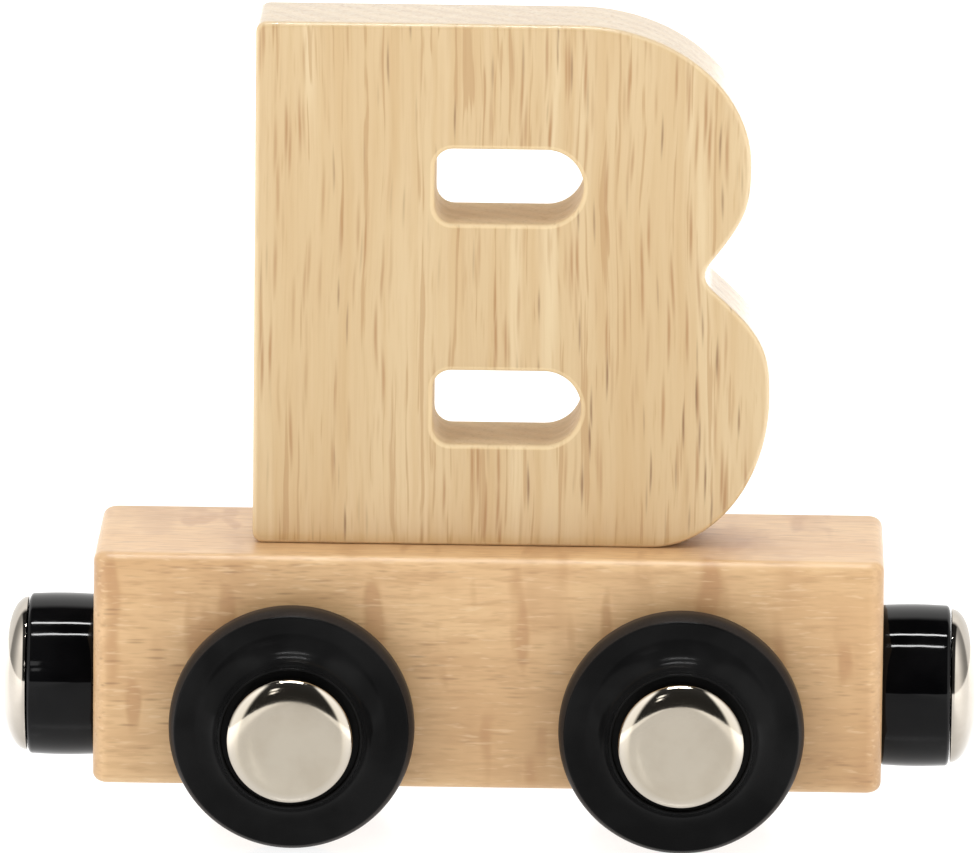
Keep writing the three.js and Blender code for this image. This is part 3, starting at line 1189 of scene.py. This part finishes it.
@dataclass
class Layout:
    """Heights and places that the sub-assemblies share."""

    axle_height: float = 10.1
    underside: float = 4.4
    block_top: float = 23.85
    block_length: float = 65.0
    coupling_height: float = 11.5
    half_wheelbase: float = 16.0
    axle_bore: float = 1.6
    dowel_hole: float = 2.55
    dowel_foot: float = 14.2
    dowel_top: float = 31.35
    dowel_places: Point = (-12.225, 9.475)

    def dowel_holes(self) -> list[Bore]:
        """Lays out the upright holes through the joint of block and letter.

        Returns:
            The holes.
        """
        places = [facing(UP, Vector((x, 0, 0))) for x in self.dowel_places]
        return [Bore(at, self.dowel_hole, self.dowel_foot, self.dowel_top) for at in places]


@dataclass
class ChassisBlock:
    """The wooden block with its bores, and the dowels in it."""

    layout: Layout
    width: float = 20.0
    edge_round: float = 0.85
    corner: float = 1.35
    corner_steps: int = 8
    spigot_bore: float = 4.05
    spigot_depth: float = 8.5

    def outline(self) -> Loop:
        """The block's plan.

        Returns:
            The plan's points, anticlockwise, with round corners.
        """
        x, y = self.layout.block_length / 2, self.width / 2
        corners = [(x, -y), (x, y), (-x, y), (-x, -y)]
        return soften([(*corner, self.corner) for corner in corners], self.corner_steps)

    def bores(self) -> list[Bore]:
        """Lays out the holes for the axles, the couplings and the dowels.

        Returns:
            The holes.
        """
        at = self.layout
        found = at.dowel_holes()
        depth = self.spigot_depth
        for end in End:
            axle = Vector((end.value * at.half_wheelbase, 0, at.axle_height))
            across = facing(Vector((0, 1, 0)), axle)
            found.append(Bore(across, at.axle_bore, -self.width, self.width))
            mouth = Vector((end.value * at.block_length / 2, 0, at.coupling_height))
            inwards = facing(Vector((end.value, 0, 0)), mouth)
            found.append(Bore(inwards, self.spigot_bore, -depth, depth))
        return found

    def build(self, workshop: Workshop) -> None:
        """Makes and dresses the block and the dowels.

        Args:
            workshop: What makes the pieces.
        """
        at = self.layout
        slab = RoundedSlab(self.outline(), [], at.block_top - at.underside, self.edge_round)
        mesh = slab.build(Matrix.Translation((0, 0, at.underside)))
        row = Row("chassis", "chassis_block", "block_wood")
        workshop.mill(mesh, self.bores(), BLOCK_WOOD, row)
        for end in End:
            workshop.keep("letter_dowel_" + end.word, DOWEL_WOOD)


@dataclass
class LetterBody:
    """The thick wooden letter with its two slots."""

    layout: Layout
    left: float = -19.6
    thickness: float = 10.0
    edge_round: float = 0.4
    corner: float = 0.9
    corner_steps: int = 6
    stem: float = 14.75
    slot_length: float = 12.25
    slot_height: float = 6.2
    slot_corner: float = 1.5
    slot_steps: int = 8
    lower_slot: float = 8.5
    upper_slot: float = 27.0
    height: float = 43.6
    upper_bowl: float = 40.75
    lower_bowl: float = 42.5
    top_round: Point = (14.4, 11.6)
    bottom_round: Point = (9.8, 12.7)
    round_steps: int = 24
    waist: Point = (36.5, 22.7)
    waist_blend: float = 1.6
    waist_steps: int = 6
    upper_sweep: float = 5.35
    lower_sweep: float = 5.3
    sweep_steps: int = 16
    fullness: float = 0.86

    def slot(self, foot: float) -> Loop:
        """One slot's outline, square at the stem and round at the bowl.

        Args:
            foot: Height of its lower edge above the letter's foot.

        Returns:
            The outline's points, clockwise.
        """
        half = self.slot_height / 2
        end = self.stem + self.slot_length - half
        corner, steps = self.slot_corner, self.slot_steps
        low, high = foot + corner, foot + self.slot_height - corner
        inner, radii = self.stem + corner, (corner, corner)
        points = arc((end, foot + half), (half, half), -QUARTER, QUARTER, self.round_steps)
        points += arc((inner, high), radii, QUARTER, 2 * QUARTER, steps)
        points += arc((inner, low), radii, 2 * QUARTER, 3 * QUARTER, steps)
        return points[::-1]

    def sweep(self, start: Vector, corner: Vector, end: Vector) -> Loop:
        """A full curve that leaves both ends towards a corner.

        Args:
            start: Its first point.
            corner: The corner.
            end: Its last point.

        Returns:
            The curve's points after the first.
        """
        held = [start, start.lerp(corner, self.fullness), end.lerp(corner, self.fullness), end]
        return bend(held, self.sweep_steps)[1:]

    def outline(self) -> Loop:
        """The letter's outline.

        Returns:
            Its points, anticlockwise from the foot of the lower bowl.
        """
        waist = Vector(self.waist)
        upper_side = Vector((self.upper_bowl, self.height - self.top_round[1]))
        upper_bend = Vector((self.upper_bowl, waist.y + self.upper_sweep))
        lower_bend = Vector((self.lower_bowl, waist.y - self.lower_sweep))
        lower_side = Vector((self.lower_bowl, self.bottom_round[1]))
        above = waist + (upper_bend - waist).normalized() * self.waist_blend
        below = waist + (lower_bend - waist).normalized() * self.waist_blend
        low_middle = (self.lower_bowl - self.bottom_round[0], lower_side.y)
        top_middle = (self.upper_bowl - self.top_round[0], upper_side.y)
        corner, steps = self.corner, self.corner_steps
        radii, top = (corner, corner), self.height - corner
        points = arc(low_middle, self.bottom_round, -QUARTER, 0, self.round_steps)
        points += self.sweep(lower_side, lower_bend, below)
        points += bend([below, waist, above], self.waist_steps)[1:]
        points += self.sweep(above, upper_bend, upper_side)
        points += arc(top_middle, self.top_round, 0, QUARTER, self.round_steps)[1:]
        points += arc((corner, top), radii, QUARTER, 2 * QUARTER, steps)
        points += arc((corner, corner), radii, 2 * QUARTER, 3 * QUARTER, steps)
        return points

    def build(self, workshop: Workshop) -> None:
        """Makes and dresses the letter.

        Args:
            workshop: What makes the pieces.
        """
        holes = [self.slot(self.lower_slot), self.slot(self.upper_slot)]
        slab = RoundedSlab(self.outline(), holes, self.thickness, self.edge_round)
        upright = Matrix.Rotation(QUARTER, 4, "X")
        foot = Matrix.Translation((self.left, self.thickness / 2, self.layout.block_top))
        mesh = slab.build(foot @ upright)
        row = Row("chassis", "letter_b", "letter_wood")
        workshop.mill(mesh, self.layout.dowel_holes(), LETTER_WOOD, row)


@dataclass
class AxleSet:
    """One axle with its two wheels, caps and cap springs."""

    layout: Layout
    end: End
    axle_radius: float = 1.5
    axle_half: float = 18.2
    axle_chamfer: float = 0.3
    wheel_radius: float = 10.1
    wheel_inner: float = 10.6
    wheel_width: float = 3.9
    wheel_edge: float = 0.1
    edge_steps: int = 6
    boss_radius: float = 3.5
    boss_height: float = 0.3
    tread_band: float = 0.6
    tread_drop: float = 0.53
    tread_steps: int = 8
    # Share of the painted reflection of the wooden block on the tread.
    tread_reflection: float = 0.6
    face_edge: float = 0.16
    hub_height: float = 2.7
    hub_flare: float = 2.6
    flare_steps: int = 14
    hub_rim: float = 5.9
    well_radius: float = 5.7
    well_depth: float = 0.6
    rim_edge: float = 0.08
    cap_back: float = 16.8
    cap_radius: float = 5.15
    cap_height: float = 2.1
    cap_wall: float = 0.4
    cap_skirt: float = 1.28
    cap_lip: float = 0.1
    cap_steps: int = 24
    cap_inner_steps: int = 10

    def place(self, side: Side, along: float) -> Matrix:
        """Where a turned piece stands, with its axis pointing outwards.

        Args:
            side: The side of the car.
            along: Distance of its zero from the middle of the car.

        Returns:
            The place in millimetres.
        """
        at = self.layout
        spot = Vector((self.end.value * at.half_wheelbase, side.value * along, at.axle_height))
        return facing(Vector((0, side.value, 0)), spot)

    def axle_profile(self) -> Loop:
        """The axle's section.

        Returns:
            Points as (radius, distance to the left).
        """
        half, radius, chamfer = self.axle_half, self.axle_radius, self.axle_chamfer
        rod = [(0, -half), (radius - chamfer, -half), (radius, chamfer - half)]
        return rod + [(r, -along) for r, along in reversed(rod)]

    def wheel_profile(self) -> tuple[Loop, dict[int, float]]:
        """The wheel's section, and the tread that carries a painted reflection.

        Returns:
            Points as (radius, distance outwards), and the edge mark of some of them.
        """
        run = (self.wheel_width - self.boss_height - self.tread_band) / 2
        sweep = (run**2 + self.tread_drop**2) / (2 * self.tread_drop)
        turn = math.atan2(run, sweep - self.tread_drop)
        inner = self.boss_height + run
        middle = (self.wheel_radius - sweep, 0)
        shoulder = arc(middle, (sweep, sweep), 0, turn, self.tread_steps)
        tread = [(r, inner - along, 0.0) for r, along in reversed(shoulder)]
        tread += [(r, inner + self.tread_band + along, 0.0) for r, along in shoulder]
        tread[0] = (*tread[0][:2], self.face_edge)
        tread[-1] = (*tread[-1][:2], self.face_edge)
        bore, edge = self.layout.axle_bore, self.wheel_edge
        rim = self.wheel_radius - self.tread_drop
        front = self.wheel_width + self.hub_height
        floor = front - self.well_depth
        turn_at = (self.hub_rim + self.hub_flare, self.wheel_width + self.hub_flare)
        radii = (self.hub_flare, self.hub_flare)
        flare = arc(turn_at, radii, -QUARTER, -2 * QUARTER, self.flare_steps)
        corners = [
            (bore, 0, edge),
            (self.boss_radius, 0, edge),
            (self.boss_radius + self.boss_height, self.boss_height, edge),
            *tread,
            (rim - SUPPORT, self.wheel_width, 0.0),
            *((r, along, 0.0) for r, along in flare),
            (self.hub_rim, front, self.rim_edge),
            (self.well_radius, front, self.rim_edge),
            (self.well_radius, floor, edge),
            (bore, floor, edge),
        ]
        points = soften(corners, self.edge_steps)
        # The tread beyond this radius carries the painted reflection.
        painted_reflection = rim + self.face_edge / 2
        return points, {i: self.tread_reflection for i, (r, _) in enumerate(points) if r > painted_reflection}

    def cap_profile(self) -> tuple[Loop, dict[int, float]]:
        """The cap's section, a thin shell open towards the wheel, and the marks for a painted
        highlight on its shoulder.

        Returns:
            Points as (radius, distance outwards) from inside to outside, and their edge marks.
        """
        wall, lip, steps = self.cap_wall, self.cap_lip, self.cap_steps
        outer = cap_outline(self.cap_radius, self.cap_height, self.cap_skirt, steps)
        room, height = self.cap_radius - wall, self.cap_height - wall
        inner = cap_outline(room, height, self.cap_skirt - wall, self.cap_inner_steps)
        rim = [(room, 0), (self.cap_radius - lip, 0), (self.cap_radius, lip)]
        first = len(inner) + len(rim)
        # The shoulder's marks paint a highlight there.
        marks = {first + i: math.sin(2 * math.pi * i / steps) for i in range(steps // 2)}
        return inner[::-1] + rim + outer, marks

    def build(self, workshop: Workshop) -> None:
        """Makes and dresses the axle set.

        Args:
            workshop: What makes the pieces.
        """
        body = self.end.word + "_axle_set"
        row = Row(body, self.end.word + "_axle", "steel")
        rod = Turning(self.axle_profile())
        workshop.turn(rod, self.place(Side.LEFT, 0), PLAIN_STEEL, row)
        tyre = Turning(*self.wheel_profile(), closed=True, segments=WHEEL_SEGMENTS)
        shell = Turning(*self.cap_profile(), segments=FINE_SEGMENTS)
        for side in Side:
            name = f"{self.end.word}_{side.word}"
            row = Row(name + "_wheel_body", name + "_wheel", "wheel_black")
            workshop.turn(tyre, self.place(side, self.wheel_inner), WHEEL_BLACK, row)
            row = Row(body, name + "_cap", "nickel")
            workshop.turn(shell, self.place(side, self.cap_back), CAP_NICKEL, row)
            workshop.keep(name + "_cap_spring", PLAIN_STEEL)


@dataclass
class Coupling:
    """One magnetic coupling: sleeve, magnet, dome with its stem, and washer."""

    layout: Layout
    end: End
    sleeve_radius: float = 6.75
    sleeve_length: float = 5.65
    sleeve_floor: float = 1.5
    sleeve_steps: int = 8
    pocket: float = 5.6
    pocket_round: float = 0.2
    rim_round: float = 0.35
    back_round: float = 0.3
    barrel: float = 0.09
    spigot: float = 4.0
    spigot_length: float = 8.0
    spigot_round: float = 0.2
    seat: float = 3.2
    seat_floor: float = -4.5
    pin_hole: float = 1.6
    pin: float = 1.5
    clinch: float = 2.2
    clinch_front: float = -5.3
    clinch_length: float = 0.8
    dome_back: float = 5.75
    dome_radius: float = 6.4
    dome_rise: float = 2.45
    dome_edge: float = 0.04
    dome_chamfer: float = 0.1
    dome_flat: float = 1.4
    dome_steps: int = 24

    def place(self) -> Matrix:
        """Where the coupling's axis leaves the block's end.

        Returns:
            The place in millimetres.
        """
        along, at = self.end.value, self.layout
        spot = Vector((along * at.block_length / 2, 0, at.coupling_height))
        return facing(Vector((along, 0, 0)), spot)

    def sleeve_profile(self) -> Loop:
        """The sleeve's section, a little fuller at mid-length.

        Returns:
            Points as (radius, distance outwards).
        """
        ring, steps = self.sleeve_radius - self.barrel, self.sleeve_steps
        shares = [i / steps for i in range(2, steps - 1)]
        full = [ring + self.barrel * math.sin(math.pi * share) for share in shares]
        corners = [
            (self.pin_hole, self.sleeve_floor, 0),
            (self.pin_hole, self.seat_floor, 0),
            (self.seat, self.seat_floor, 0),
            (self.seat, -self.spigot_length, 0),
            (self.spigot, -self.spigot_length, self.spigot_round),
            (self.spigot, 0, 0),
            (ring, 0, self.back_round),
            *((r, self.sleeve_length * share, 0.0) for r, share in zip(full, shares)),
            (ring, self.sleeve_length, self.rim_round),
            (self.pocket, self.sleeve_length, self.pocket_round),
            (self.pocket, self.sleeve_floor, 0),
        ]
        return soften(corners, steps)

    def dome_profile(self) -> Loop:
        """The dome, half an ellipse with a small flat at its tip, and its stem in one section.

        Returns:
            Points as (radius, distance outwards) from the stem's end to the dome's tip.
        """
        middle = (0.0, self.dome_back + self.dome_edge)
        radii = (self.dome_radius, self.dome_rise - self.dome_edge)
        flat_at = math.acos(self.dome_flat / self.dome_radius)
        raised = arc(middle, radii, 0, flat_at, self.dome_steps)
        stem_end = self.clinch_front - self.clinch_length
        stem = [
            (0, stem_end),
            (self.clinch, stem_end),
            (self.clinch, self.clinch_front),
            (self.pin, self.clinch_front),
            (self.pin, self.dome_back),
            (self.dome_radius - self.dome_chamfer, self.dome_back),
        ]
        return stem + raised + [(0, raised[-1][1])]

    def build(self, workshop: Workshop) -> None:
        """Makes and dresses the coupling.

        Args:
            workshop: What makes the pieces.
        """
        name, place = self.end.word + "_coupler", self.place()
        sleeve = Turning(self.sleeve_profile(), closed=True, segments=FINE_SEGMENTS)
        row = Row("chassis", name + "_sleeve", "sleeve_black")
        workshop.turn(sleeve, place, SLEEVE_BLACK, row)
        dome = Turning(self.dome_profile(), segments=FINE_SEGMENTS)
        row = Row(name + "_head", name + "_dome", "nickel")
        workshop.turn(dome, place, DOME_NICKEL, row)
        workshop.keep(name + "_magnet", MAGNET_GREY)
        workshop.keep(name + "_washer", PLAIN_STEEL)


# Studio


@dataclass(frozen=True)
class SoftLight:
    """One flat studio light.

    Attributes:
        name: Its name.
        place: Where it stands, in millimetres.
        aim: The point that it faces, in millimetres.
        size: Width and height, in millimetres.
        power: Power in watts.
        mirrored: True where glossy pieces show it.
        spreads: True where it lights matte pieces.
    """

    name: str
    place: Spot
    aim: Spot
    size: Point
    power: float
    mirrored: bool = True
    spreads: bool = True

    def build(self) -> None:
        """Makes the light."""
        data = bpy.data.lights.new(self.name, "AREA")
        data.shape = "RECTANGLE"
        data.size, data.size_y = (side * MM for side in self.size)
        data.energy = self.power
        light = bpy.data.objects.new(self.name, data)
        light.location = Vector(self.place) * MM
        way = Vector(self.aim) - Vector(self.place)
        light.rotation_mode = "QUATERNION"
        light.rotation_quaternion = way.to_track_quat("-Z", "Y")
        light.visible_glossy = self.mirrored
        light.visible_diffuse = self.spreads
        light.visible_camera = False
        bpy.context.scene.collection.objects.link(light)


@dataclass
class Studio:
    """Floor, lights, surroundings and camera.

    The room's levels go by the parts of the way that one looks: each pair holds
    the span of that part and the brightness at the span's two ends.
    """

    floor_half: float = 3000.0
    floor_cells: int = 8
    floor_colour: Colour = (0.24, 0.239, 0.237)
    floor_shade: float = 0.985
    floor_cloud: Noise = Noise(evenly(0.004), detail=2.0, shift=1.1)
    floor_roughness: float = 0.2
    floor_gloss: float = 0.5
    floor_glow: Levels = ((35.0, 65.0), (0.85, 1.4))
    glow_colour: Colour = (1.0, 1.0, 1.0)
    room_colour: Colour = (1.0, 0.99, 0.97)
    side_levels: Levels = ((0.40, 0.54), (0.02, 1.0))
    front_levels: Levels = ((-0.50, 0.45), (1.55, 0.40))
    back_levels: Levels = ((0.45, 0.62), (0.02, 1.25))
    height_levels: Levels = ((0.3, 0.95), (1.0, 1.25))
    camera_place: Spot = (17.218, -1114.056, 260.608)
    yaw: float = -0.0156
    pitch: float = 0.2016
    roll: float = -0.0105
    focal_pixels: float = 13753.9
    image_width: float = 980.0
    sensor: float = 36.0
    clip: Point = (0.01, 50.0)
    lights: tuple[SoftLight, ...] = (
        SoftLight("strip_above", (-15, -15, 620), (-15, 0, 0), (280, 26), 1.25, spreads=False),
        SoftLight("strip_front", (-15, -226, 620), (-15, 0, 0), (280, 26), 1.25, spreads=False),
        SoftLight("front_fill", (-120, -850, 620), (0, 0, 30), (900, 700), 1.95, mirrored=False),
        SoftLight("top_fill", (0, 0, 1600), (0, 0, 0), (2500, 1780), 20.2, mirrored=False),
        SoftLight("high_glint", (-210, -805, 405), (0, -19, 10), (80, 90), 0.06, spreads=False),
        SoftLight("low_glint", (-193, -860, 277), (0, -19, 10), (50, 60), 0.03, spreads=False),
    )

    def floor(self) -> None:
        """Lays the pale, glossy floor, which glows under the car and more beyond its two ends."""
        bm = bmesh.new()
        cells = self.floor_cells
        bmesh.ops.create_grid(bm, x_segments=cells, y_segments=cells, size=self.floor_half)
        floor = make_piece("studio_floor", bm)
        sheet = MaterialSheet("studio_floor")
        dim = tuple(self.floor_shade * part for part in self.floor_colour)
        (first, last), strengths = self.floor_glow
        aside = sheet.amount_along(0, sheet.spot)
        inputs = {
            "Base Color": sheet.blend(sheet.noise(self.floor_cloud), self.floor_colour, dim),
            "Roughness": self.floor_roughness,
            "Specular IOR Level": self.floor_gloss,
            "Emission Color": self.glow_colour,
            "Emission Strength": sheet.ramp(aside, (first * MM, last * MM), strengths),
        }
        sheet.shade(inputs)
        floor.data.materials.append(sheet.material)

    def surroundings(self) -> None:
        """Makes the room: pale behind the car and at its sides, dark in front of it and above."""
        world = bpy.data.worlds.new("studio")
        world.use_nodes = True
        sheet = NodeSheet(world.node_tree)
        way = sheet.add("ShaderNodeTexCoord").outputs["Generated"]
        parts = sheet.add("ShaderNodeSeparateXYZ", {"Vector": way}).outputs
        sides = sheet.ramp(sheet.reckon("ABSOLUTE", parts["X"]), *self.side_levels)
        ahead = sheet.ramp(parts["Y"], *self.front_levels)
        behind = sheet.ramp(parts["Y"], *self.back_levels)
        above = sheet.ramp(parts["Z"], *self.height_levels)
        round_about = sheet.reckon("MAXIMUM", sheet.times(sides, ahead), behind)
        background = sheet.tree.nodes["Background"].inputs
        sheet.fill(background["Strength"], sheet.times(round_about, above))
        sheet.fill(background["Color"], self.room_colour)
        bpy.context.scene.world = world

    def camera(self) -> None:
        """Sets the camera at the photograph's angle."""
        ahead = Vector((math.sin(self.yaw), math.cos(self.yaw), 0)) * math.cos(self.pitch)
        ahead.z = -math.sin(self.pitch)
        across = Vector((math.cos(self.yaw), -math.sin(self.yaw), 0))
        down = ahead.cross(across)
        turned = math.cos(self.roll) * across + math.sin(self.roll) * down
        below = math.cos(self.roll) * down - math.sin(self.roll) * across
        data = bpy.data.cameras.new("photo_camera")
        data.sensor_width = self.sensor
        data.lens = self.focal_pixels / self.image_width * self.sensor
        data.clip_start, data.clip_end = self.clip
        camera = bpy.data.objects.new("photo_camera", data)
        place = Matrix((turned, -below, -ahead)).transposed().to_4x4()
        place.translation = Vector(self.camera_place) * MM
        camera.matrix_world = place
        bpy.context.scene.collection.objects.link(camera)
        bpy.context.scene.camera = camera

    def build(self) -> None:
        """Makes the studio."""
        self.floor()
        self.surroundings()
        for light in self.lights:
            light.build()
        self.camera()
        bpy.context.scene.view_settings.view_transform = "Standard"


def main() -> None:
    """Builds and dresses the car, then the studio."""
    logging.basicConfig(level=logging.INFO, format="%(message)s")
    layout = Layout()
    workshop = Workshop()
    ChassisBlock(layout).build(workshop)
    LetterBody(layout).build(workshop)
    for end in End:
        AxleSet(layout, end).build(workshop)
        Coupling(layout, end).build(workshop)
    Studio().build()


if __name__ == "__main__":
    main()
